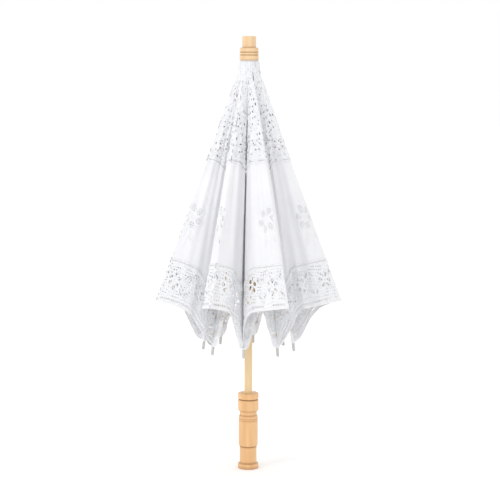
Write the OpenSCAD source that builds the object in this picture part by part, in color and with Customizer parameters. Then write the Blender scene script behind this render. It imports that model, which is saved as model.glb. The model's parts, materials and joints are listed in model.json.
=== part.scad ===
// Closed lace parasol with a turned wooden handle, a sliding runner and eight folding ribs.
// Millimetres. Origin at the centre of the handle's end face, +Z up the shaft to the finial.

/* [Shaft] */
// Height of the whole parasol, handle end to finial top
total_h = 660; // [560:5:760]
// Radius of the shaft
shaft_r = 6; // [4.5:0.1:8]

/* [Handle] */
// Height of the turned handle
handle_h = 117.5; // [90:0.5:150]
// Radius of the end disc and of the two upper rings
handle_r = 15.8; // [12:0.1:20]
// Radius of the long middle section that is gripped
grip_r = 14.6; // [11:0.1:18]
// Radius of the slimmer section above the end disc
heel_r = 13; // [9:0.1:16]
// Radius of the neck below the rings
neck_r = 13.3; // [9:0.1:16]

/* [Finial] */
// Radius of the plain stub at the very top
stub_r = 10.3; // [8:0.1:14]
// Height of the stub
stub_h = 17.2; // [10:0.1:30]
// Radius of the collar under the stub
collar_r = 14.3; // [12:0.1:20]
// Height of the collar
collar_h = 18.8; // [10:0.1:30]

/* [Frame] */
// Radius of the circle that the rib hinges sit on
hinge_r = 10.5; // [9:0.1:14]
// Drop from the finial top to the rib hinges
hinge_drop = 42; // [38:0.5:60]
// Angle of a closed rib from vertical
rib_angle = 7.8; // [6:0.1:12]
// Angle of an open rib from vertical
open_angle = 70; // [55:1:80]
// Length of a rib, hinge to tip
rib_len = 439; // [360:1:520]
// Width of a rib
rib_w = 3; // [2:0.1:4]
// Depth of a rib
rib_t = 3.2; // [2:0.1:5]
// Distance from a rib's hinge to its stretcher pivot, and length of the stretcher
arm_len = 172; // [140:1:200]
// Radius of the hinge wires and pivot pins
wire_r = 0.8; // [0.5:0.05:1.2]
// Radius of the cap on a rib's end
cap_r = 2.2; // [1.8:0.1:3.5]
// Length of that cap
cap_len = 15; // [8:0.5:24]

/* [Canopy] */
// Angle of a closed fold's ridge from vertical
fold_angle = 21.5; // [16:0.1:30]
// How far a closed fold leans round from the middle of its gore
fold_lean = 7; // [-10:0.5:10]
// Length of the fold's ridge, hinge circle to hem
fold_len = 376; // [300:1:460]
// Length of the cloth along a rib, hinge to corner
seam_len = 424; // [340:1:500]
// Distance of a panel's edge from the fold line
fold_gap = 4.6; // [1:0.1:10]
// Thickness of the cloth panels
cloth_t = 1; // [0.6:0.1:2]

/* [Hidden] */
$fn = 48;
rib_step = 45;
hinge_z = total_h - hinge_drop;
run_gap = 0.06;
socket_z = handle_h - 45;
tenon_r = 4;
crown_r = 13;
crown_low = hinge_z - 12;
crown_top = hinge_z + 5.4;
rosette_t = 0.6;
stub_z = total_h - stub_h;
collar_z = crown_top + rosette_t;
rib_slot = rib_w + 0.5;
arm_w = 2.7;
arm_t = 3;
arm_slot = arm_w + 0.5;
pin_len = rib_slot + 3;
fork_gap = 0.25;
fork_t = 1.1;
fork_len = 22;
fork_open = 15.5;
eye_r = 2.2;
runner_z = hinge_z - 2 * arm_len * cos(rib_angle);
runner_open_z = hinge_z - 2 * arm_len * cos(open_angle);
head_h = 4;
sleeve_len = 20;
sleeve_r = 8;
stop_z = runner_open_z + head_h + 1.3;
catch_az = rib_step / 2;
panel_top = 22;
panel_head = 4;
catch_top = runner_open_z - sleeve_len - 0.5;
catch_len = 40;
catch_pivot = catch_top - catch_len;
catch_x = 4.1;
leaf_t = 1;
leaf_w = 2.6;
leaf_slot = 3.2;

maple = [0.90, 0.74, 0.55];
pale_wood = [0.93, 0.83, 0.68];
metal = [0.80, 0.78, 0.74];
cotton = [0.94, 0.94, 0.95];

function rib_az(k) = -90 + rib_step * (k - 1);
function polar(r, az, z) = [r * cos(az), r * sin(az), z];
function slope(down, az) = [sin(down) * cos(az), sin(down) * sin(az), -cos(down)];
function unit(v) = v / norm(v);
function bead(r, z0, z1, c) = [
  [r - c, z0], [r - 0.29 * c, z0 + 0.29 * c], [r, z0 + c],
  [r, z1 - c], [r - 0.29 * c, z1 - 0.29 * c], [r - c, z1]
];
function groove(r, z, deep, wide) = [[r, z - wide / 2], [r - deep, z], [r, z + wide / 2]];

// Straight rod between two points
module rod(a, b, r) {
  v = b - a;
  translate(a)
    rotate([0, acos(v[2] / norm(v)), atan2(v[1], v[0])])
      cylinder(h = norm(v), r = r);
}

// Ring of short pins, one on each hinge axis
module hinge_pins(z, r) {
  for (k = [1:8])
    rotate([0, 0, rib_az(k)])
      translate([hinge_r, 0, z])
        bar_y(r, pin_len);
}

// Moves the children from a local frame, +Z along the closed rib and -X outwards, to rib k
module on_rib(k) {
  rotate([0, 0, rib_az(k)])
    translate([hinge_r, 0, hinge_z])
      rotate([0, 180 - rib_angle, 0])
        children();
}

// The same for a stretcher, +Z running from its rib pivot down to the runner
module on_stretcher(k) {
  rotate([0, 0, rib_az(k)])
    translate([hinge_r + arm_len * sin(rib_angle), 0, hinge_z - arm_len * cos(rib_angle)])
      rotate([0, 180 + rib_angle, 0])
        children();
}

module bar_y(r, w) {
  rotate([90, 0, 0])
    cylinder(h = w, r = r, center = true);
}

// Turned handle: end disc, heel, grip, neck and two rings, socketed for the shaft
module handle() {
  disc_h = handle_h * 0.07;
  heel_z = handle_h * 0.295;
  body_z = handle_h * 0.7;
  neck_z = handle_h * 0.765;
  ring_z = handle_h * 0.917;
  edge = 1.6;
  color(maple)
    rotate_extrude($fn = 96)
      polygon(concat(
        [[0, 0]],
        bead(handle_r, 0, disc_h, edge),
        [[heel_r + 0.3, disc_h + 0.4], [heel_r, disc_h + 1.4]],
        [[heel_r - 0.25, (disc_h + heel_z) / 2], [heel_r, heel_z - 1.6]],
        [[heel_r - 0.2, heel_z - 0.9], [heel_r - 1, heel_z - 0.6], [heel_r - 1, heel_z + 0.3]],
        [[grip_r - 0.9, heel_z + 0.5], [grip_r - 0.2, heel_z + 1.1], [grip_r - 0.1, heel_z + 2]],
        [[grip_r + 0.1, (heel_z + body_z) / 2]],
        groove(grip_r, body_z - 7.5, 0.6, 1.3),
        groove(grip_r, body_z - 4.5, 0.6, 1.3),
        [[grip_r, body_z - 1.4], [grip_r - 0.3, body_z - 0.5], [grip_r - 0.9, body_z]],
        [[neck_r, body_z + 0.5], [neck_r - 0.35, (body_z + neck_z) / 2], [neck_r, neck_z - 0.5]],
        bead(handle_r - 0.1, neck_z, ring_z - 0.4, edge),
        [[handle_r - 2.5, ring_z - 0.4], [handle_r - 2.5, ring_z + 0.4]],
        bead(handle_r, ring_z + 0.4, handle_h, edge),
        [[shaft_r, handle_h], [shaft_r, socket_z], [0, socket_z]]
      ));
}

// Round shaft with a thinner top tenon, a slot for the catch and holes for its pins
module shaft() {
  color(pale_wood)
    difference() {
      union() {
        translate([0, 0, socket_z])
          cylinder(h = crown_low - socket_z, r = shaft_r, $fn = 96);
        translate([0, 0, crown_low - 1])
          cylinder(h = stub_z + 7 - crown_low, r = tenon_r, $fn = 96);
      }
      rotate([0, 0, catch_az])
        translate([0.5, -leaf_slot / 2, catch_pivot - 3])
          cube([shaft_r, leaf_slot, catch_len + 4.5]);
      rotate([0, 0, catch_az])
        translate([catch_x - leaf_t / 2, 0, catch_pivot])
          bar_y(0.7, 3 * shaft_r);
      rotate([0, 0, catch_az])
        translate([0, 0, stop_z])
          bar_y(1, 3 * shaft_r);
    }
}

// Turned finial: grooved collar and plain stub, bored from below for the tenon
module finial() {
  edge = 1.5;
  color(maple)
    rotate_extrude($fn = 96)
      polygon(concat(
        [[tenon_r, collar_z], [collar_r - 0.8, collar_z], [collar_r, collar_z + 0.8]],
        groove(collar_r - 0.1, collar_z + collar_h * 0.42, 0.9, 1.6),
        groove(collar_r - 0.15, collar_z + collar_h * 0.64, 0.9, 1.6),
        [[collar_r - 0.4, stub_z - edge], [collar_r - 0.4 - 0.29 * edge, stub_z - 0.29 * edge]],
        [[collar_r - 0.4 - edge, stub_z], [stub_r, stub_z]],
        [[stub_r, total_h - 1.2], [stub_r - 0.35, total_h - 0.35], [stub_r - 1.2, total_h]],
        [[0, total_h], [0, stub_z + 6], [tenon_r, stub_z + 6]]
      ));
}

// Small cloth washer held between the crown and the finial
module rosette() {
  color(cotton)
    difference() {
      translate([0, 0, crown_top])
        cylinder(h = rosette_t, r = collar_r - 0.3, $fn = 96);
      translate([0, 0, crown_top - 1])
        cylinder(h = rosette_t + 2, r = tenon_r, $fn = 96);
    }
}

// Slotted crown that the ribs hinge in
module crown() {
  color(pale_wood)
    difference() {
      translate([0, 0, crown_low])
        cylinder(h = crown_top - crown_low, r = crown_r, $fn = 96);
      translate([0, 0, crown_low - 1])
        cylinder(h = crown_top - crown_low + 2, r = tenon_r, $fn = 96);
      for (k = [1:8])
        rotate([0, 0, rib_az(k)])
          translate([hinge_r - eye_r - 0.4, -rib_slot / 2, crown_low - 1])
            cube([crown_r, rib_slot, hinge_z + eye_r + 0.6 - crown_low + 1]);
      hinge_pins(hinge_z, wire_r);
    }
}

module crown_pins() {
  color(metal) hinge_pins(hinge_z, wire_r);
}

// Pin through the shaft that stops the runner at the top of its travel
module stop_pin() {
  color(metal)
    rotate([0, 0, catch_az])
      translate([0, 0, stop_z])
        bar_y(1, 2 * sleeve_r - 0.2);
}

module catch_pin() {
  color(metal)
    rotate([0, 0, catch_az])
      translate([catch_x - leaf_t / 2, 0, catch_pivot])
        bar_y(0.7, 2 * sqrt(shaft_r * shaft_r - catch_x * catch_x));
}

// Sprung leaf whose nose holds the open runner up
module catch_leaf() {
  nose_x = sleeve_r - 0.1;
  nose_h = 6;
  color(metal)
    rotate([0, 0, catch_az])
      difference() {
        rotate([90, 0, 0])
          linear_extrude(height = leaf_w, center = true)
            polygon([
              [catch_x - leaf_t, catch_pivot], [catch_x, catch_pivot],
              [catch_x, catch_top - nose_h - 2], [nose_x, catch_top - nose_h * 0.35],
              [nose_x, catch_top], [catch_x - leaf_t, catch_top]
            ]);
        translate([catch_x - leaf_t / 2, 0, catch_pivot])
          bar_y(1.4, 2 * leaf_w);
      }
  color(metal)
    rotate([0, 0, catch_az])
      translate([catch_x - leaf_t / 2, 0, catch_pivot])
        difference() {
          bar_y(1.5, leaf_w);
          bar_y(0.7 + run_gap, 2 * leaf_w);
        }
}

// Sliding runner: long sleeve with a slotted head for the stretchers
module runner() {
  color(pale_wood)
    difference() {
      union() {
        translate([0, 0, runner_z - sleeve_len])
          cylinder(h = sleeve_len + head_h, r = sleeve_r, $fn = 96);
        translate([0, 0, runner_z - head_h])
          cylinder(h = 2 * head_h, r = crown_r, $fn = 96);
      }
      translate([0, 0, runner_z - sleeve_len - 1])
        cylinder(h = sleeve_len + head_h + 2, r = shaft_r + run_gap, $fn = 96);
      for (k = [1:8])
        rotate([0, 0, rib_az(k)])
          translate([sleeve_r, -arm_slot / 2, runner_z - head_h - 1])
            cube([crown_r, arm_slot, 2 * head_h + 2]);
      hinge_pins(runner_z, wire_r);
    }
}

module runner_pins() {
  color(metal) hinge_pins(runner_z, wire_r);
}

// Wooden rib with a hinge eye, a pivot hole and a round spigot for the cap
module rib(k) {
  color(pale_wood)
    on_rib(k)
      difference() {
        union() {
          bar_y(eye_r, rib_w);
          translate([-rib_t / 2, -rib_w / 2, 0])
            cube([rib_t, rib_w, rib_len - cap_len - 1]);
          translate([0, 0, arm_len])
            bar_y(eye_r + 0.2, rib_w);
          translate([0, 0, rib_len - cap_len - 2])
            cylinder(h = cap_len - 3, r = cap_r - 0.8);
        }
        bar_y(wire_r + run_gap, 2 * rib_w);
        translate([0, 0, arm_len])
          bar_y(wire_r, 2 * rib_w);
      }
}

// Cap over a rib's end, which the canopy's corner is sewn to
module rib_cap(k) {
  color(metal)
    on_rib(k)
      translate([0, 0, rib_len - cap_len])
        rotate_extrude()
          polygon([
            [cap_r - 0.8, 0], [cap_r, 0], [cap_r, cap_len - 1.6],
            [cap_r * 0.86, cap_len - 0.7], [cap_r * 0.45, cap_len],
            [0, cap_len], [0, cap_len - 5], [cap_r - 0.8, cap_len - 5]
          ]);
}

module pivot_pin(k) {
  side = rib_w / 2 + fork_gap + fork_t;
  color(metal)
    on_rib(k)
      translate([0, 0, arm_len]) {
        bar_y(wire_r, 2 * side + 0.6);
        for (s = [-1, 1])
          translate([0, s * (side + 0.35), 0])
            bar_y(wire_r + 0.6, 0.5);
      }
}

// Wooden stretcher, forked round its rib at one end and eyed at the runner end
module stretcher(k) {
  side = rib_w / 2 + fork_gap + fork_t;
  color(pale_wood)
    on_stretcher(k)
      difference() {
        union() {
          bar_y(arm_t / 2 + 0.4, 2 * side);
          translate([-arm_t / 2, -side, 0])
            cube([arm_t, 2 * side, fork_len]);
          translate([-arm_t / 2, -arm_w / 2, 1])
            cube([arm_t, arm_w, arm_len - 1]);
          translate([0, 0, arm_len])
            bar_y(eye_r - 0.1, arm_w);
        }
        translate([-eye_r - 1, -rib_w / 2 - fork_gap, -eye_r - 1])
          cube([2 * eye_r + 2, rib_w + 2 * fork_gap, fork_open + eye_r + 1]);
        bar_y(wire_r + run_gap, 4 * side);
        translate([0, 0, arm_len])
          bar_y(wire_r + 0.1, 2 * arm_w);
      }
}

// Half of a gore, from near rib r to the fold of gore k; side +1 lies ahead of its rib
module panel(k, r, side) {
  az = rib_az(r);
  outward = [cos(rib_angle) * cos(az), cos(rib_angle) * sin(az), sin(rib_angle)];
  across = side * [-sin(az), cos(az), 0];
  seam = polar(hinge_r, az, hinge_z) + 3.6 * outward + 0.6 * across;
  seam_dir = slope(rib_angle, az);
  ridge = polar(hinge_r / cos(rib_step / 2), rib_az(k) + rib_step / 2, hinge_z);
  ridge_dir = slope(fold_angle, rib_az(k) + rib_step / 2 + fold_lean);
  inward = fold_gap * unit(seam + seam_len * seam_dir - ridge - fold_len * ridge_dir);
  a1 = seam + panel_top * seam_dir;
  a2 = seam + (seam_len - 8) * seam_dir;
  c2 = ridge + inward + fold_len * ridge_dir;
  c1 = a1 + panel_head * unit(c2 - a1 - ((c2 - a1) * seam_dir) * seam_dir);
  n = unit(cross(a2 - a1, c2 - a1)) * cloth_t / 2;
  color(cotton)
    polyhedron(
      points = [a1 - n, a2 - n, c2 - n, c1 - n, a1 + n, a2 + n, c2 + n, c1 + n],
      faces = [
        [0, 1, 2], [0, 2, 3], [7, 6, 4], [6, 5, 4], [0, 4, 5], [0, 5, 1],
        [1, 5, 6], [1, 6, 2], [2, 6, 7], [2, 7, 3], [3, 7, 4], [3, 4, 0]
      ]
    );
}

module panel_a(k) {
  panel(k, k, 1);
}

module panel_b(k) {
  panel(k, k + 1, -1);
}

handle();
shaft();
finial();
rosette();
crown();
crown_pins();
stop_pin();
catch_pin();
catch_leaf();
runner();
runner_pins();
rib(1);  // rib_1
rib(2);  // rib_2
rib(3);  // rib_3
rib(4);  // rib_4
rib(5);  // rib_5
rib(6);  // rib_6
rib(7);  // rib_7
rib(8);  // rib_8
rib_cap(1);  // rib_cap_1
rib_cap(2);  // rib_cap_2
rib_cap(3);  // rib_cap_3
rib_cap(4);  // rib_cap_4
rib_cap(5);  // rib_cap_5
rib_cap(6);  // rib_cap_6
rib_cap(7);  // rib_cap_7
rib_cap(8);  // rib_cap_8
pivot_pin(1);  // pivot_pin_1
pivot_pin(2);  // pivot_pin_2
pivot_pin(3);  // pivot_pin_3
pivot_pin(4);  // pivot_pin_4
pivot_pin(5);  // pivot_pin_5
pivot_pin(6);  // pivot_pin_6
pivot_pin(7);  // pivot_pin_7
pivot_pin(8);  // pivot_pin_8
stretcher(1);  // stretcher_1
stretcher(2);  // stretcher_2
stretcher(3);  // stretcher_3
stretcher(4);  // stretcher_4
stretcher(5);  // stretcher_5
stretcher(6);  // stretcher_6
stretcher(7);  // stretcher_7
stretcher(8);  // stretcher_8
panel_a(1);  // panel_1a
panel_b(1);  // panel_1b
panel_a(2);  // panel_2a
panel_b(2);  // panel_2b
panel_a(3);  // panel_3a
panel_b(3);  // panel_3b
panel_a(4);  // panel_4a
panel_b(4);  // panel_4b
panel_a(5);  // panel_5a
panel_b(5);  // panel_5b
panel_a(6);  // panel_6a
panel_b(6);  // panel_6b
panel_a(7);  // panel_7a
panel_b(7);  // panel_7b
panel_a(8);  // panel_8a
panel_b(8);  // panel_8b
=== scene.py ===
"""Looks of the lace parasol: cotton and lace canopy, sewn tapes and cords, wood and metal, studio."""

import json
import math

import bpy
import numpy as np
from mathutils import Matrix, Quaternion, Vector


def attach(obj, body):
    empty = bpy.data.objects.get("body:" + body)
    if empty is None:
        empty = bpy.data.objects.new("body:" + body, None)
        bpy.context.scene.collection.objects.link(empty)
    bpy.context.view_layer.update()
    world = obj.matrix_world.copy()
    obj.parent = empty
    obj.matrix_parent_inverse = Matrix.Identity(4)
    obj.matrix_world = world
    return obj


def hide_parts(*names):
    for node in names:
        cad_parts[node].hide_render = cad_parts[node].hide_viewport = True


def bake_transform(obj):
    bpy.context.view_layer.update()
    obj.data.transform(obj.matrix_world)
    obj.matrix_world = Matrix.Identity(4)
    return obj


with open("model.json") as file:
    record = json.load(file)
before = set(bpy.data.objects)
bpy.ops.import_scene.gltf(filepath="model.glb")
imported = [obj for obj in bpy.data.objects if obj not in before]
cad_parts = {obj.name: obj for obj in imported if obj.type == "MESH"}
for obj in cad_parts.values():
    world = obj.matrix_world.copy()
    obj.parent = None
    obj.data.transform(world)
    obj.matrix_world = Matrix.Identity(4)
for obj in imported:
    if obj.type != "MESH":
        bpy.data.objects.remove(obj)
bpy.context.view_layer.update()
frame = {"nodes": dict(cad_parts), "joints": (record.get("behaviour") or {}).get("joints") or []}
JOINTS = {j["name"]: j for j in frame["joints"]}

# ---------------------------------------------------------------- shape of the canopy, in metres
GORES = 8
STEP = 2 * math.pi / GORES
RIB_ANGLE = math.radians(7.8)  # closed ribs, from vertical
OPEN_ANGLE = math.radians(70)  # open ribs, from vertical
FOLD_ANGLE = math.radians(21.5)  # closed folds, from vertical
FOLD_LEAN = math.radians(7)  # of the folds round the shaft, from the gores' middles
SEAM_LEN = 0.424  # crown to hem along a rib
FOLD_LEN = 0.376  # crown to hem along a fold
CREASE_SHIFT = math.radians(2.5)  # of the fold from the middle of the gore's cut
GORE_HALF = math.asin(math.sin(OPEN_ANGLE) * math.sin(STEP / 2))  # half the angle of the gore's cut
LIFT = 0.0027  # of the cloth over the rib's pivot line
TOP_Z = 0.6226  # height of the gathered edge under the collar
TOP_R = 0.0139  # radius of the gathered edge
S_CROWN = 0.028  # along the fold: where the upper lace starts
S_UPPER = 0.150  # where the plain cotton starts
S_LOWER = 0.312  # where the hem's lace starts

# How the cloth lies when closed.
BULGE = {"a": 0.021, "b": 0.011}  # on the front rib
BULGE_SHARE = 0.68  # of that on the other ribs
DROP_REACH = {"a": 0.46, "b": 0.55}  # share of a half in which the hem drops to the rib's corner
WAVE = 0.001  # height of the small waves
WAVES = ((1.7, 9, 1.5), (1.5, 17, -2.5), (0.8, 30, 4))  # (strength, how many across, drift down the cloth)
GATHER_LEN = 0.03  # length in which the cloth leaves the gathered edge
GATHER_SLOPE = 0.25  # how fast the gathered edge widens
GATHER_LEAN = 0.4  # share of FOLD_LEAN it has
PUCKER = 0.0007  # height of its puckers
# Pleats of single gores, by side: (place across the half, width, height).
PLEATS = {
    1: {"a": ((0.52, 0.09, 0.004),)},
    2: {"a": ((0.35, 0.12, -0.006),)},
    4: {"b": ((0.5, 0.1, -0.005),)},
    5: {"a": ((0.5, 0.1, -0.006),)},
    7: {"b": ((0.6, 0.1, 0.004),)},
    8: {"b": ((0.40, 0.11, -0.010), (0.72, 0.12, 0.004))},
}
MM = 1000  # millimetres in a metre: the lace patterns and the flat cuts are in millimetres
rng = np.random.default_rng(7)


def unit(v):
    return v / np.linalg.norm(v)


def rib_az(k):
    """Direction of rib k round the shaft; rib 1 is at the front."""
    return -math.pi / 2 + STEP * (k - 1)


def slope(down, az):
    """Unit vector that points down and out, at an angle from vertical."""
    return np.array([math.sin(down) * math.cos(az), math.sin(down) * math.sin(az), -math.cos(down)])


def smooth(x):
    """Soft step from 0 to 1."""
    x = np.clip(x, 0, 1)
    return x * x * (3 - 2 * x)


class Half:
    """Half of gore k: the cloth between the rib it is hinged to and the gore's fold."""

    def __init__(self, k, side):
        self.k = k
        self.side = side
        self.sign = 1 if side == "a" else -1
        r = k if side == "a" else k + 1
        self.rib = (r - 1) % GORES + 1
        self.body = f"rib_{self.rib}"
        self.panel = f"panel_{k}{side}"
        self.az = rib_az(r)
        self.fold_pos = np.array(JOINTS[f"{self.panel}_fold"]["pos_m"])
        radial = np.array([math.cos(self.az), math.sin(self.az), 0])
        self.outward = math.cos(RIB_ANGLE) * radial + np.array([0, 0, math.sin(RIB_ANGLE)])
        self.start = np.array(JOINTS[f"rib_{self.rib}_hinge"]["pos_m"]) + LIFT * self.outward
        self.seam_dir = slope(RIB_ANGLE, self.az)
        self.fold_az = rib_az(k) + STEP / 2
        self.fold_dir = slope(FOLD_ANGLE, self.fold_az + FOLD_LEAN)
        self.across = unit(self.fold_dir - (self.fold_dir @ self.seam_dir) * self.seam_dir)
        self.alpha = GORE_HALF + self.sign * CREASE_SHIFT
        self.phase = rng.uniform(0, 2 * math.pi, 4)

    def hem_share(self, x):
        """Rows hang level from the fold and drop to the rib's corner near the rib."""
        drop = 1 - smooth(x / DROP_REACH[self.side])
        if self.side == "b":
            drop = 0.5 * drop + 0.5 * (1 - x) ** 2
        level = FOLD_LEN + (SEAM_LEN - FOLD_LEN) * drop
        return level / (SEAM_LEN * (1 - x) + FOLD_LEN * x)

    def surface(self, nx=73, nt=141):
        """Grid of the closed cloth. Rows run down from the crown (t), columns from rib to fold (x)."""
        t = np.linspace(0, 1, nt)[:, None, None]
        x = np.linspace(0, 1, nx)[None, :, None]
        ta = t * self.hem_share(x)
        a = self.start + SEAM_LEN * ta * self.seam_dir
        c = self.fold_pos + FOLD_LEN * ta * self.fold_dir
        p = a + (c - a) * x
        share = 1.0 if self.rib == 1 else BULGE_SHARE
        p = p + share * BULGE[self.side] * np.sin(math.pi * x) ** 0.7 * t * self.normals(p)
        fade = (np.sin(math.pi * x) ** 0.8) * smooth((t - 0.06) / 0.5)
        wave = sum(strength * np.sin(across * x + phase + drift * t)
                   for (strength, across, drift), phase in zip(WAVES, self.phase))
        p = p + WAVE * wave * fade * self.normals(p)
        for place, width, height in PLEATS.get(self.k, {}).get(self.side, ()):
            p = p + height * np.exp(-((x - place) / width) ** 2) * smooth(t * 1.4) * t * self.normals(p)
        gathered = self.gathered_edge(x, t * SEAM_LEN)
        leave = smooth(t * SEAM_LEN / GATHER_LEN)
        return gathered * (1 - leave) + p * leave

    def gathered_edge(self, x, s):
        """The cloth's start under the collar: puckered rings that widen with s, the way down."""
        az = self.az + (self.fold_az - self.az) * x
        az = az + FOLD_LEAN * GATHER_LEAN * x
        pucker = PUCKER * np.sin(x * 16 + self.phase[3]) * np.sin(np.pi * x)
        r = TOP_R + pucker + s * GATHER_SLOPE
        return np.concatenate([r * np.cos(az), r * np.sin(az), TOP_Z - s + 0 * x], axis=2)

    def normals(self, p):
        """Unit normals of a grid of points, outwards."""
        n = np.cross(np.gradient(p, axis=1), np.gradient(p, axis=0))
        n /= np.linalg.norm(n, axis=2, keepdims=True) + 1e-12
        middle = n[n.shape[0] // 2, n.shape[1] // 2]
        return n if middle @ self.outward > 0 else -n

    def flat(self, x, t):
        """Place on the cut of the gore in mm: its fold on the Y axis, the crown at the origin."""
        ta = t * self.hem_share(x)
        rx = SEAM_LEN * math.sin(self.alpha)
        ry = SEAM_LEN * math.cos(self.alpha)
        u = -self.sign * rx * ta * (1 - x)
        v = ta * (ry * (1 - x) + FOLD_LEN * x)
        return u * MM, v * MM


# ---------------------------------------------------------------- meshes
def new_mesh(name, verts, tris, smooth_shade=True):
    """Object of triangles, or of faces with as many corners as each row of tris has."""
    me = bpy.data.meshes.new(name)
    verts = np.asarray(verts, np.float32)
    tris = np.asarray(tris, np.int32)
    corners = tris.shape[1]
    me.vertices.add(len(verts))
    me.vertices.foreach_set("co", verts.ravel())
    me.loops.add(tris.size)
    me.loops.foreach_set("vertex_index", tris.ravel())
    me.polygons.add(len(tris))
    me.polygons.foreach_set("loop_start", np.arange(0, tris.size, corners, dtype=np.int32))
    me.polygons.foreach_set("loop_total", np.full(len(tris), corners, np.int32))
    me.update(calc_edges=True)
    me.validate()
    if smooth_shade:
        me.polygons.foreach_set("use_smooth", np.ones(len(me.polygons), bool))
    o = bpy.data.objects.new(name, me)
    bpy.context.scene.collection.objects.link(o)
    return o


def march(field, grid):
    """Triangles of the part of a grid where field is above 0, its edge cut smoothly between points."""
    ny, nx = field.shape
    idx = np.arange(ny * nx).reshape(ny, nx)
    flat = grid.reshape(ny * nx, -1)
    f = field.ravel()

    def cut(i, j):
        w = f[i] / (f[i] - f[j] + 1e-15)
        return flat[i] + (flat[j] - flat[i]) * np.clip(w, 0, 1)[:, None]

    hi, hj = idx[:, :-1].ravel(), idx[:, 1:].ravel()
    vi, vj = idx[:-1].ravel(), idx[1:].ravel()
    points = np.concatenate([flat, cut(hi, hj), cut(vi, vj)])
    h0 = ny * nx
    v0 = h0 + len(hi)
    hid = h0 + np.arange(ny * (nx - 1)).reshape(ny, nx - 1)
    vid = v0 + np.arange((ny - 1) * nx).reshape(ny - 1, nx)
    inside = field > 0
    corner = [idx[:-1, :-1], idx[:-1, 1:], idx[1:, 1:], idx[1:, :-1]]
    edge = [hid[:-1], vid[:, 1:], hid[1:], vid[:, :-1]]
    mask = sum(inside[a:ny - 1 + a, b:nx - 1 + b] * (1 << n)
               for n, (a, b) in enumerate([(0, 0), (0, 1), (1, 1), (1, 0)]))
    tris = []
    for m in range(1, 16):
        where = mask == m
        if not where.any():
            continue
        loop = []
        for n in range(4):
            here = m >> n & 1
            there = m >> (n + 1) % 4 & 1
            if here:
                loop.append(corner[n][where])
            if here != there:
                loop.append(edge[n][where])
        for n in range(1, len(loop) - 1):
            tris.append(np.stack([loop[0], loop[n], loop[n + 1]], axis=1))
    used, tris = np.unique(np.concatenate(tris), return_inverse=True)
    return points[used], tris.reshape(-1, 3)


def sample(grid, x, t):
    """Grid values at fractional places x, t from 0 to 1."""
    nt, nx = grid.shape[:2]
    fx = np.clip(x, 0, 1) * (nx - 1)
    ft = np.clip(t, 0, 1) * (nt - 1)
    j = np.minimum(fx.astype(int), nx - 2)
    i = np.minimum(ft.astype(int), nt - 2)
    a = (fx - j)[..., None]
    b = (ft - i)[..., None]
    return ((grid[i, j] * (1 - a) + grid[i, j + 1] * a) * (1 - b)
            + (grid[i + 1, j] * (1 - a) + grid[i + 1, j + 1] * a) * b)


# ---------------------------------------------------------------- lace patterns, in mm on the flat cut
# Each gives the cloth's field (a hole where it is below 0) and how far each place is inside a raised
# cord. A spin, lean, shift or seed turns or moves a pattern, so that gores differ.
NO_CORD = -9.0


def petal_angle(phi, petals):
    """Angle from the nearest petal's middle."""
    step = 2 * math.pi / petals
    return phi - np.round(phi / step) * step


def flower(u, v, cu, cv, size, petals, spin, tape):
    """Rings of cord round pointed petals, a heart and the open middles of the petals."""
    du = u - cu
    dv = v - cv
    rho = np.hypot(du, dv)
    phi = petal_angle(np.arctan2(dv, du) + spin, petals)
    x = rho * np.cos(phi) - 0.6 * size
    y = rho * np.sin(phi)
    wide = 0.56 * size * math.tan(math.pi / petals)
    shape = 1 - np.sqrt((x / (0.4 * size)) ** 2 + (y / wide) ** 2)
    inside = shape * min(0.4 * size, wide)
    cord = tape - np.abs(inside - tape * 0.6)
    heart = tape - np.abs(rho - 0.2 * size)
    return np.maximum(cord, heart), inside - tape, rho


def leaf(u, v, cu, cv, length, width, lean, tape):
    """Ring of cord round a pointed leaf and its open middle."""
    c = math.cos(lean)
    s = math.sin(lean)
    x = (u - cu) * c + (v - cv) * s
    y = -(u - cu) * s + (v - cv) * c
    r = (length ** 2 + width ** 2) / (4 * width)
    inside = r - np.hypot(x, np.abs(y) + r - width / 2)
    return tape - np.abs(inside - tape), inside - 2 * tape


def bars(u, v, gap, half, lean):
    """Fine parallel threads."""
    d = u * math.cos(lean) + v * math.sin(lean)
    return half - np.abs(d - np.round(d / gap) * gap)


def slits(u, v, across, down, rx, ry):
    """Long holes in staggered rows, across and down apart, with half sizes rx and ry."""
    row = np.round(v / down)
    off = u - (row % 2) * across / 2
    du = off - np.round(off / across) * across
    dv = v - row * down
    return (np.hypot(du / rx, dv / ry) - 1) * rx


def swing(u, v, centre, reach, length, half, shift):
    """Cord that runs down v and swings across u."""
    x = u - centre - reach * np.sin(2 * math.pi * (v / length + shift))
    return half - np.abs(x) / math.hypot(1, 2 * math.pi * reach / length * 0.7)


def add(field, cords, opens=None, fill=None):
    """Lay cords over a field, and open their middles down to the fill threads."""
    if opens is not None:
        field = np.where(opens > 0, np.maximum(-opens, fill), field)
    return np.maximum(field, cords)


def patchy(u, v, seed):
    """Slow change that closes the holes in places."""
    return (np.sin(u / 6.3 + seed) * np.sin(v / 7.9 + 2 * seed) + np.sin(u / 3.1 - v / 4.7 + 3 * seed)) * 0.5


def warp(u, v, seed):
    """Places pulled a little out of line, as in handmade lace."""
    return (u + 1.3 * np.sin(v / 13 + seed) + 0.8 * np.sin(v / 5.3 + 2 * seed + u / 9),
            v + 1.3 * np.sin(u / 11 + 3 * seed) + 0.9 * np.sin(u / 6.1 + seed - v / 12))


# Hem band: a row of flowers over leaves, a ladder and an edge. Heights are above the hem.
HEM_PITCH = 47
HEM_FLOWER = 15.5
HEM_FLOWER_HEIGHT = 37
HEM_LEAVES = ((0.9, 19, 48), (-0.9, 28, 48), (0.75, 27, 21), (-0.75, 20, 21))  # (lean, place, height)
LADDER_TOP = 9.5
LADDER_PITCH = 3.6
HEM_LACE_TOP = 64


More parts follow.
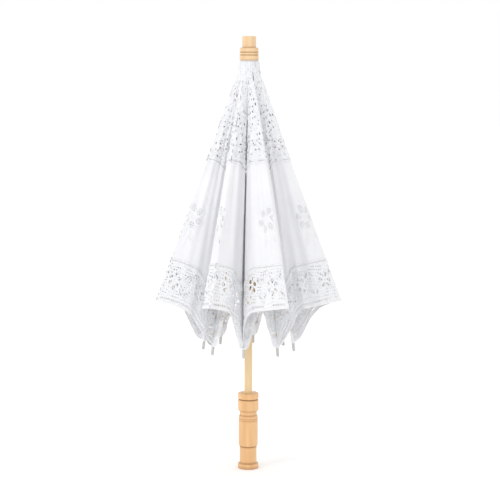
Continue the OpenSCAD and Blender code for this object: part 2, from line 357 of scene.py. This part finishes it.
def hem_lace(u, height, seed, bare):
    """Lower lace band at a height above the hem. Flower number bare has lost its fill threads."""
    wu, wv = warp(u, height, seed)
    f = slits(wu + wv * 0.4, wv, 4.8, 4.6, 1.45, 1.2) + 0.35 + 0.55 * patchy(wu, wv, seed)
    fill = np.maximum(bars(wu, wv, 3.8, 0.6, 0.7), bars(wu, wv, 5.4, 0.6, -0.8))
    cords = np.full_like(u, NO_CORD)
    for n in range(-4, 4):
        cu = HEM_PITCH / 2 + HEM_PITCH * n + 4 * math.sin(seed + 2 * n)
        cv = HEM_FLOWER_HEIGHT + 2 * math.sin(3 * n + seed)
        c, o, _ = flower(wu, wv, cu, cv, HEM_FLOWER, 6, seed + n, 1.25)
        f = add(f, c, o, -1.0 if n == bare else fill)
        cords = np.maximum(cords, c)
        for lean, du, leaf_height in HEM_LEAVES:
            c, o = leaf(wu, wv, cu + du, leaf_height, 19, 8.5, lean, 0.95)
            f = add(f, c, o, fill)
            cords = np.maximum(cords, c)
    rungs = 0.85 - np.abs(u - np.round(u / LADDER_PITCH) * LADDER_PITCH)
    ladder = np.maximum(rungs, np.abs(height - 7) - 1.5)
    f = np.where(height < LADDER_TOP, ladder, f)
    rails = np.maximum(5.4 - height, 3.5 - np.abs(height - HEM_LACE_TOP))
    edge = np.maximum(1.4 - np.abs(height - 10.5), rails)
    return np.maximum(f, edge), np.maximum(cords, edge)


# Upper lace: swinging cords (centre, reach, length, shift), flowers (u, v, size) and leaves (u, v, lean).
TOP_SWINGS = ((-46, 8, 62, 0.1), (-24, 9, 54, 0.6), (0, 7, 48, 0.25), (23, 9, 58, 0.05), (44, 7, 50, 0.5))
TOP_FLOWERS = ((-14, 124, 13), (22, 121, 13), (-46, 131, 11), (3, 92, 10), (-25, 96, 9), (30, 92, 9))
TOP_LEAVES = ((-8, 66, 1.35), (10, 63, 1.75), (-20, 70, 1.2), (1, 40, 1.57), (-9, 37, 1.4), (10, 38, 1.7),
              (4, 138, 0.3), (-32, 112, 0.6), (40, 114, 2.4), (-30, 142, -0.2), (44, 138, 0.2))


def top_lace(u, v, seed):
    """Upper lace from the crown to the first tapes."""
    wu, wv = warp(u, v, seed)
    f = slits(wu, wv, 5.2, 8.8, 1.25, 2.9) + 0.6 + 0.6 * patchy(wu, wv, seed)
    fill = np.maximum(bars(wu, wv, 3.6, 0.9, 1.2), bars(wu, wv, 4.4, 0.85, -0.9))
    cords = np.full_like(u, NO_CORD)
    for centre, reach, length, shift in TOP_SWINGS:
        c = swing(wu, wv, centre * np.maximum(v, 20) / 120, reach, length, 1.5, shift + seed)
        f = np.maximum(f, c)
        cords = np.maximum(cords, c)
    for cu, cv, size in TOP_FLOWERS:
        c, o, _ = flower(wu, wv, cu, cv, size, 5, cu * 0.1 + seed, 1.15)
        f = add(f, c, o, fill)
        cords = np.maximum(cords, c)
    for cu, cv, lean in TOP_LEAVES:
        c, o = leaf(wu, wv, cu, cv, 17, 6.0, lean, 0.85)
        f = add(f, c, o, fill)
        cords = np.maximum(cords, c)
    edge = np.maximum(3.5 - v * 0.4, 3.5 - np.abs(v - S_UPPER * MM))
    return np.maximum(f, edge), np.maximum(cords, edge)


def cotton(u, v, seed, cu):
    """Plain cotton with one flower at cu, its petals and two leaves pierced by small eyelets, and a stem."""
    cv = 238.0
    c, o, rho = flower(u, v, cu, cv, 22, 6, 0.4 + seed, 1.3)
    f = np.where(o > 0.4, slits(u, v, 3.3, 3.1, 0.9, 0.95), 2.0)
    cords = np.maximum(c, 1.2 - np.abs(rho - 1.4))
    for side in (-1, 1):
        lc, lo = leaf(u, v, cu + 9 * side, cv + 31, 22, 8, 0.95 * side, 0.9)
        f = np.where(lo > 0.8, slits(u, v, 3.6, 3.4, 0.85, 0.85), f)
        cords = np.maximum(cords, lc)
    stem = 0.9 - np.abs(u - cu - 3 * np.sin((v - cv) / 16)) - np.maximum(0, np.abs(v - cv - 38) - 16)
    return np.maximum(f, np.where(c > 0, 1.0, NO_CORD)), np.maximum(cords, stem)


# ---------------------------------------------------------------- materials
def material(name, color, rough, build=None, sheen=0.0, metallic=0.0, coat=0.0):
    """Principled material; build adds the nodes that vary it."""
    m = bpy.data.materials.new(name)
    m.use_nodes = True
    nt = m.node_tree
    b = nt.nodes["Principled BSDF"]
    b.inputs["Base Color"].default_value = (*color, 1)
    b.inputs["Roughness"].default_value = rough
    b.inputs["Metallic"].default_value = metallic
    if sheen:
        b.inputs["Sheen Weight"].default_value = sheen
    if coat:
        b.inputs["Coat Weight"].default_value = coat
        b.inputs["Coat Roughness"].default_value = 0.25
    if build:
        build(nt, b, color)
    return m


def texture(nt, kind, scale, **inputs):
    """Texture node in the object's own space, which scale stretches; inputs are set by name."""
    place = nt.nodes.new("ShaderNodeTexCoord")
    mapping = nt.nodes.new("ShaderNodeMapping")
    mapping.inputs["Scale"].default_value = scale
    nt.links.new(place.outputs["Object"], mapping.inputs["Vector"])
    n = nt.nodes.new(kind)
    for key, value in inputs.items():
        n.inputs[key].default_value = value
    nt.links.new(mapping.outputs["Vector"], n.inputs["Vector"])
    return n


def ramp(nt, fac, low, high, a=0.3, b=0.7):
    """Colour that goes from low at fac a to high at fac b."""
    r = nt.nodes.new("ShaderNodeValToRGB")
    for stop, place, color in zip(r.color_ramp.elements, (a, b), (low, high)):
        stop.position = place
        stop.color = (*color, 1)
    nt.links.new(fac, r.inputs["Fac"])
    return r.outputs["Color"]


def bump(nt, b, height, strength, distance):
    n = nt.nodes.new("ShaderNodeBump")
    n.inputs["Strength"].default_value = strength
    n.inputs["Distance"].default_value = distance
    nt.links.new(height, n.inputs["Height"])
    nt.links.new(n.outputs["Normal"], b.inputs["Normal"])


def woven(nt, b, color):
    """Plain weave, a little uneven in colour."""
    big = texture(nt, "ShaderNodeTexNoise", (1, 1, 1), Scale=22.0, Detail=4.0)
    dark = tuple(c * 0.94 for c in color)
    nt.links.new(ramp(nt, big.outputs["Fac"], dark, color), b.inputs["Base Color"])
    fine = texture(nt, "ShaderNodeTexNoise", (1, 1, 0.4), Scale=900.0, Detail=2.0)
    bump(nt, b, fine.outputs["Fac"], 0.35, 0.0004)


def threads_with_painted_shade(nt, b, color):
    """Worked thread, with painted shade darker between the stitches."""
    fine = texture(nt, "ShaderNodeTexVoronoi", (1, 1, 1), Scale=620.0)
    # painted shade in the recesses between the stitches
    dark = tuple(c * 0.86 for c in color)
    nt.links.new(ramp(nt, fine.outputs["Distance"], color, dark, 0.2, 0.75), b.inputs["Base Color"])
    bump(nt, b, fine.outputs["Distance"], 0.6, 0.0006)


def grain(nt, b, color):
    """Wood grain that runs up the parasol."""
    along = (1, 1, 0.06)
    big = texture(nt, "ShaderNodeTexNoise", along, Scale=120.0, Detail=5.0, Roughness=0.6, Distortion=0.4)
    dark = tuple(c * s for c, s in zip(color, (0.86, 0.78, 0.68)))
    nt.links.new(ramp(nt, big.outputs["Fac"], dark, color, 0.25, 0.62), b.inputs["Base Color"])
    fine = texture(nt, "ShaderNodeTexNoise", along, Scale=600.0, Detail=3.0)
    bump(nt, b, fine.outputs["Fac"], 0.12, 0.0004)
    nt.links.new(ramp(nt, fine.outputs["Fac"], (0.34,) * 3, (0.52,) * 3), b.inputs["Roughness"])


def grain_and_painted_groove_shade(*shaded_grooves):
    """Wood grain, with painted shade that makes it darker and browner in the turned grooves: (height, half
    width, painted shade), in metres.
    """
    low = min(g[0] for g in shaded_grooves) - 0.01
    high = max(g[0] for g in shaded_grooves) + 0.01

    def build(nt, b, color):
        grain(nt, b, color)
        wood = b.inputs["Base Color"].links[0].from_socket
        place = nt.nodes.new("ShaderNodeTexCoord")
        xyz = nt.nodes.new("ShaderNodeSeparateXYZ")
        nt.links.new(place.outputs["Object"], xyz.inputs["Vector"])
        span = nt.nodes.new("ShaderNodeMapRange")
        span.inputs["From Min"].default_value = low
        span.inputs["From Max"].default_value = high
        nt.links.new(xyz.outputs["Z"], span.inputs["Value"])
        r = nt.nodes.new("ShaderNodeValToRGB")
        stops = r.color_ramp.elements
        stops.remove(stops[1])
        stops[0].position = 0.0
        stops[0].color = (1, 1, 1, 1)
        # painted shade: rings darker and browner at the grooves' heights, where shade falls
        for z, half, painted_shade in sorted(shaded_grooves):
            for dz, c in ((-half, 1.0), (0.0, painted_shade), (half, 1.0)):
                e = stops.new((z + dz - low) / (high - low))
                e.color = (c, c ** 1.25, c ** 1.5, 1)
        nt.links.new(span.outputs["Result"], r.inputs["Fac"])
        mix = nt.nodes.new("ShaderNodeMix")
        mix.data_type = "RGBA"
        mix.blend_type = "MULTIPLY"
        mix.inputs[0].default_value = 1.0
        nt.links.new(wood, mix.inputs[6])
        nt.links.new(r.outputs["Color"], mix.inputs[7])
        nt.links.new(mix.outputs[2], b.inputs["Base Color"])
    return build


def brushed(nt, b, color):
    """Metal or paint with faint streaks."""
    n = texture(nt, "ShaderNodeTexNoise", (1, 1, 0.1), Scale=300.0, Detail=3.0)
    dark = tuple(c * 0.8 for c in color)
    nt.links.new(ramp(nt, n.outputs["Fac"], dark, color), b.inputs["Base Color"])


# Turned grooves of the handle and the finial, with painted shade in them: (height, half width, painted
# shade), in metres.
HANDLE_GROOVE_SHADE = (
    (0.0015, 0.004, 0.72), (0.0090, 0.0022, 0.62), (0.0343, 0.0022, 0.66), (0.0748, 0.0012, 0.78),
    (0.0778, 0.0012, 0.78), (0.0833, 0.0020, 0.66), (0.0899, 0.0020, 0.72), (0.1077, 0.0016, 0.55))
FINIAL_GROOVE_SHADE = (
    (0.6245, 0.0015, 0.75), (0.6319, 0.0014, 0.62), (0.6360, 0.0014, 0.62), (0.6430, 0.0018, 0.75))

COTTON = material("cotton", (0.852, 0.856, 0.877), 0.92, woven, sheen=0.15)
LACE = material("lace", (0.905, 0.912, 0.935), 0.95, threads_with_painted_shade, sheen=0.15)
TAPE = material("lace_tape", (0.89, 0.895, 0.91), 0.9, threads_with_painted_shade, sheen=0.15)
HANDLE = material("turned_wood", (0.84, 0.512, 0.247), 0.42, grain_and_painted_groove_shade(*HANDLE_GROOVE_SHADE), coat=0.25)
FINIAL = material("finial_wood", (0.86, 0.62, 0.37), 0.45, grain_and_painted_groove_shade(*FINIAL_GROOVE_SHADE), coat=0.2)
SHAFT = material("shaft_wood", (0.88, 0.675, 0.405), 0.5, grain, coat=0.1)
FRAME = material("frame_wood", (0.80, 0.64, 0.43), 0.6, grain)
RIBS = material("rib_wood", (0.78, 0.64, 0.45), 0.65, grain)
WIRE = material("wire", (0.62, 0.61, 0.58), 0.4, brushed, metallic=1.0)
STEEL = material("spring_steel", (0.56, 0.56, 0.57), 0.35, brushed, metallic=1.0)
CAPS = material("cap_paint", (0.62, 0.62, 0.60), 0.5, brushed)

# Looks of the CAD nodes: by name, or without the number of one of a set.
NODE_LOOKS = {
    "handle": HANDLE, "finial": FINIAL, "shaft": SHAFT, "crown": FRAME, "runner": FRAME, "rosette": COTTON,
    "crown_pins": WIRE, "runner_pins": WIRE, "stop_pin": WIRE, "catch_pin": WIRE, "catch_leaf": STEEL}
SET_LOOKS = {"rib_cap": CAPS, "pivot_pin": WIRE, "stretcher": RIBS, "rib": RIBS, "panel": COTTON}
for name, obj in frame["nodes"].items():
    look = NODE_LOOKS.get(name) or SET_LOOKS[name.rsplit("_", 1)[0]]
    obj.data.materials.clear()
    obj.data.materials.append(look)


# ---------------------------------------------------------------- canopy
# Along the fold, as shares of its length.
T_CROWN = S_CROWN / FOLD_LEN
T_UPPER = S_UPPER / FOLD_LEN
T_LOWER = S_LOWER / FOLD_LEN
T_OVERLAP = 0.016  # of the gathered lace under the upper lace
LACE_STEP = 0.0011  # between the points of a sheet's grid
COTTON_STEP = 0.0013
LACE_STAND = 0.0010  # of the raised cords
COTTON_STAND = 0.0008
CROWN_SINK = 0.0008  # of the gathered lace under the upper lace
SEAM_MM = 3.0  # width of the edge without holes along the rib
FOLD_EDGE = 1.5  # it is this much narrower along the fold
EDGE_SCALE = 900  # grid metres to about that many mm of gathered cloth
CUT_SLACK = 1.12  # the grid's width over the cut's at the hem
CORD_FOOT = 0.6  # mm outside a cord where the cloth starts to rise
CORD_RISE = 1.4  # mm in which it rises
# Raised tapes: (place along the fold, half width, height).
TAPES = (
    (S_UPPER - 0.0125, 0.0014, 0.0010), (S_UPPER - 0.0045, 0.0021, 0.0013),
    (S_UPPER + 0.0022, 0.0021, 0.0013),
    (S_LOWER - 0.0025, 0.0016, 0.0011), (S_LOWER + 0.0020, 0.0016, 0.0011),
    (FOLD_LEN - 0.0024, 0.0022, 0.0012), (FOLD_LEN - 0.0100, 0.0011, 0.0009))
FLOWER_PLACE = -15.0  # of the cotton's flower, across the cut in mm
FLOWER_PLACES = {7: 11.0}  # where it sits elsewhere
BARE_FLOWERS = {"1a": -2}  # flower of the hem band whose fill threads are gone, by half gore


def sewn(name, verts, tris, mat):
    """Mesh of cloth in the material mat."""
    obj = new_mesh(name, verts, tris)
    obj.data.materials.append(mat)
    return obj


def bent(obj):
    """Bakes the piece's transform into its mesh."""
    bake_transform(obj)


def cloth_piece(name, half, grid, mat, t0, t1, pattern, sink=0.0):
    """Piece of cloth between rows t0 and t1 of a half gore, cut and corded to a pattern."""
    step, stand = (COTTON_STEP, COTTON_STAND) if mat == COTTON else (LACE_STEP, LACE_STAND)
    wide = FOLD_LEN * math.tan(half.alpha) * CUT_SLACK
    nx = int(wide * t1 / step)
    nt = int((t1 - t0) * FOLD_LEN / step) + 1
    x, t = np.meshgrid(np.linspace(0, 1, nx), np.linspace(t0, t1, nt))
    u, v = half.flat(x, t)
    field, cords = pattern(u, v, (1 - t) * FOLD_LEN * MM)
    seam = SEAM_MM - np.minimum(x, FOLD_EDGE * (1 - x)) * wide * t * EDGE_SCALE
    field = np.maximum(field, seam)
    lift = stand * smooth((cords + CORD_FOOT) / CORD_RISE)[..., None] - sink
    pos = sample(grid, x, t) + lift * sample(half.normals(grid), x, t)
    pts, tris = march(field, np.concatenate([pos, u[..., None], v[..., None]], axis=2))
    obj = sewn(name, pts[:, :3], tris, mat)
    bent(obj)
    return obj


def tape_piece(name, half, grid):
    """Narrow raised tapes that follow rows of the cloth."""
    n_across = 5
    n_along = 70
    x = np.linspace(0, 1, n_along)
    q = np.linspace(-1, 1, n_across)
    i = np.arange(n_across * n_along).reshape(n_across, n_along)
    quad = np.stack([a.ravel() for a in (i[:-1, :-1], i[:-1, 1:], i[1:, 1:], i[1:, :-1])], axis=1)
    normal = half.normals(grid)
    verts = []
    tris = []
    for n, (centre, half_width, height) in enumerate(TAPES):
        wobble = 0.0004 * np.sin(x * 60 + centre * 900)
        t = (centre + half_width * q[:, None] + wobble[None, :]) / FOLD_LEN
        xx = np.broadcast_to(x, t.shape)
        lift = height * (1 - q[:, None] ** 2) + 0.00012
        p = sample(grid, xx, t) + lift[..., None] * sample(normal, xx, t)
        verts.append(p.reshape(-1, 3))
        base = n * i.size
        tris += [quad[:, [0, 1, 2]] + base, quad[:, [0, 2, 3]] + base]
    obj = sewn(name, np.concatenate(verts), np.concatenate(tris), TAPE)
    bent(obj)


def tube(name, path, radius, sides=7):
    """Round cord along a path of points."""
    d = np.gradient(path, axis=0)
    d /= np.linalg.norm(d, axis=1, keepdims=True)
    side = np.cross(d, np.array([0.31, 0.17, 0.94]))
    side /= np.linalg.norm(side, axis=1, keepdims=True)
    up = np.cross(side, d)
    a = np.linspace(0, 2 * math.pi, sides, endpoint=False)[None, :, None]
    ring = path[:, None] + radius * (np.cos(a) * side[:, None] + np.sin(a) * up[:, None])
    n = len(path) * sides
    i = np.arange(n).reshape(len(path), sides)
    j = np.roll(i, -1, axis=1)
    quad = np.stack([i[:-1].ravel(), i[1:].ravel(), j[1:].ravel(), j[:-1].ravel()], axis=1)
    ends = [ring[0].mean(0), ring[-1].mean(0)]
    tris = [quad[:, [0, 1, 2]], quad[:, [0, 2, 3]],
            np.stack([np.full(sides, n), i[0], j[0]], axis=1),
            np.stack([np.full(sides, n + 1), j[-1], i[-1]], axis=1)]
    return sewn(name, np.concatenate([ring.reshape(-1, 3), ends]), np.concatenate(tris), TAPE)


def corner_pocket(name, half, sides=24):
    """Flat doubled patch of cloth round the rib's end, which the canopy's corner is sewn into."""
    top = -0.017
    foot = 0.002
    s = np.linspace(SEAM_LEN + top, SEAM_LEN + foot, 12)
    wide = np.interp(s - SEAM_LEN, (top, -0.009, foot), (0.0080, 0.0066, 0.0040))
    deep = np.interp(s - SEAM_LEN, (top, -0.011, foot), (0.0010, 0.0028, 0.0027))
    a = np.linspace(0, 2 * math.pi, sides, endpoint=False)
    side = np.cross(half.outward, half.seam_dir)
    crease = 1 + 0.06 * np.sin(3 * a + half.rib)[None, :] * np.sin(s * 400)[:, None]
    ring = (half.start + s[:, None, None] * half.seam_dir - 0.0024 * half.outward
            + (wide[:, None] * np.cos(a) * crease)[..., None] * side
            + (deep[:, None] * np.sin(a) * crease)[..., None] * half.outward)
    i = np.arange(len(s) * sides).reshape(len(s), sides)
    j = np.roll(i, -1, axis=1)
    tris = np.concatenate([np.stack([i[:-1].ravel(), j[:-1].ravel(), j[1:].ravel()], axis=1),
                           np.stack([i[:-1].ravel(), j[1:].ravel(), i[1:].ravel()], axis=1)])
    return sewn(name, ring.reshape(-1, 3), tris, COTTON)


def corner_lace(name, half):
    """Lace gusset under the canopy's corner, sewn along the rib: it widens up from the rib's end."""
    length = 0.062
    foot_half = 0.0064
    spread = 0.0145
    c, q = np.meshgrid(np.linspace(-1, 1, 33), np.linspace(0, 1, 56))
    wide = foot_half + spread * (1 - q) ** 0.9
    s = SEAM_LEN - length * (1 - q) + 0.006 * (c * c) * (1 - q)
    side = np.cross(half.outward, half.seam_dir)
    wave = 0.0012 * np.sin(c * 9 + half.rib) * np.abs(c) + 0.0007 * np.sin(s * 260 + c * 3)
    height = wave - 0.0007 - 0.0026 * c * c
    pos = (half.start + s[..., None] * half.seam_dir + (c * wide)[..., None] * side
           + height[..., None] * half.outward)
    u = c * wide * MM
    v = s * MM
    field = slits(u, v, 3.4, 6.0, 0.75, 2.2) + 0.25 + 0.3 * patchy(u, v, half.rib)
    rim = 1.6 - np.minimum((1 - np.abs(c)) * wide * MM, q * length * MM)
    over_rib = 3.9 - np.abs(u)
    in_pocket = v - SEAM_LEN * MM + 15
    field = np.maximum.reduce([field, rim, over_rib, in_pocket])
    cords = np.maximum(rim, 1.2 - np.abs(np.abs(u) - 5))
    lift = 0.0007 * smooth((cords + 0.5) / 1.2)
    pos = pos + lift[..., None] * half.outward
    pts, tris = march(field, np.concatenate([pos, u[..., None], v[..., None]], axis=2))
    obj = sewn(name, pts[:, :3], tris, LACE)
    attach(obj, half.body)


for k in range(1, GORES + 1):
    seed = 1.7 * k
    flower_place = FLOWER_PLACES.get(k, FLOWER_PLACE)
    for side in "ab":
        half = Half(k, side)
        grid = half.surface()
        tag = f"{k}{side}"
        cloth_piece(f"lace_crown_{tag}", half, grid, LACE, 0.0, T_CROWN + T_OVERLAP,
                    lambda u, v, height: top_lace(u, v, seed), CROWN_SINK)
        cloth_piece(f"lace_upper_{tag}", half, grid, LACE, T_CROWN, T_UPPER,
                    lambda u, v, height: top_lace(u, v, seed))
        middle = cloth_piece(f"cotton_{tag}", half, grid, COTTON, T_UPPER, T_LOWER,
                             lambda u, v, height: cotton(u, v, seed, flower_place))
        cloth_piece(f"lace_hem_{tag}", half, grid, LACE, T_LOWER, 1.0,
                    lambda u, v, height: hem_lace(u, height, seed, BARE_FLOWERS.get(tag)))
        tape_piece(f"tapes_{tag}", half, grid)
        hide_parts(half.panel)

for r in range(1, GORES + 1):
    half = Half(r, "a")
    s = np.linspace(0.006, SEAM_LEN - 0.004, 60)[:, None]
    line = half.start + s * half.seam_dir + 0.0004 * half.outward
    cord = tube(f"rib_seam_{r}", line, 0.0008)
    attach(cord, half.body)
    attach(corner_pocket(f"corner_pocket_{r}", half), half.body)
    corner_lace(f"corner_lace_{r}", half)

# ---------------------------------------------------------------- studio
scene = bpy.context.scene
FLOOR = [(-6, -4, 0), (6, -4, 0), (6, 12, 0), (-6, 12, 0)]
floor_mesh = new_mesh("floor", FLOOR, [(0, 1, 2, 3)], False)
floor_mat = material("floor", (0.95, 0.95, 0.95), 0.9)
floor_look = floor_mat.node_tree.nodes["Principled BSDF"]
floor_look.inputs["Emission Color"].default_value = (1, 1, 1, 1)
floor_look.inputs["Emission Strength"].default_value = 0.12
floor_mesh.data.materials.append(floor_mat)

world = bpy.data.worlds.new("studio")
world.use_nodes = True
background = world.node_tree.nodes["Background"]
background.inputs["Color"].default_value = (1, 1, 1, 1)
background.inputs["Strength"].default_value = 1.0
scene.world = world


def aim(obj, place, target):
    """Puts a light or camera at a place, looking at a target."""
    obj.location = place
    obj.rotation_mode = "QUATERNION"
    obj.rotation_quaternion = (Vector(target) - Vector(place)).to_track_quat("-Z", "Y")
    scene.collection.objects.link(obj)


key_data = bpy.data.lights.new("key", "AREA")
key_data.energy = 14.0
key_data.size = 1.2
key = bpy.data.objects.new("key", key_data)
aim(key, (-1.7, -2.0, 1.9), (0, 0, 0.4))

CAM_AZIMUTH = math.radians(6)
CAM_DISTANCE = 2.6
CAM_HEIGHT = 0.64
CAM_TARGET = (0.002, 0, 0.3376)
CAM_ROLL = math.radians(0.15)
cam_data = bpy.data.cameras.new("camera")
cam_data.lens = 124.1
cam_data.sensor_width = 36.0
cam_data.clip_start = 0.05
cam_data.clip_end = 60
cam = bpy.data.objects.new("camera", cam_data)
cam_place = (math.sin(CAM_AZIMUTH) * CAM_DISTANCE, -math.cos(CAM_AZIMUTH) * CAM_DISTANCE, CAM_HEIGHT)
aim(cam, cam_place, CAM_TARGET)
cam.rotation_quaternion = cam.rotation_quaternion @ Quaternion((0, 0, 1), CAM_ROLL)
scene.camera = cam

scene.view_settings.view_transform = "Standard"
scene.view_settings.look = "None"
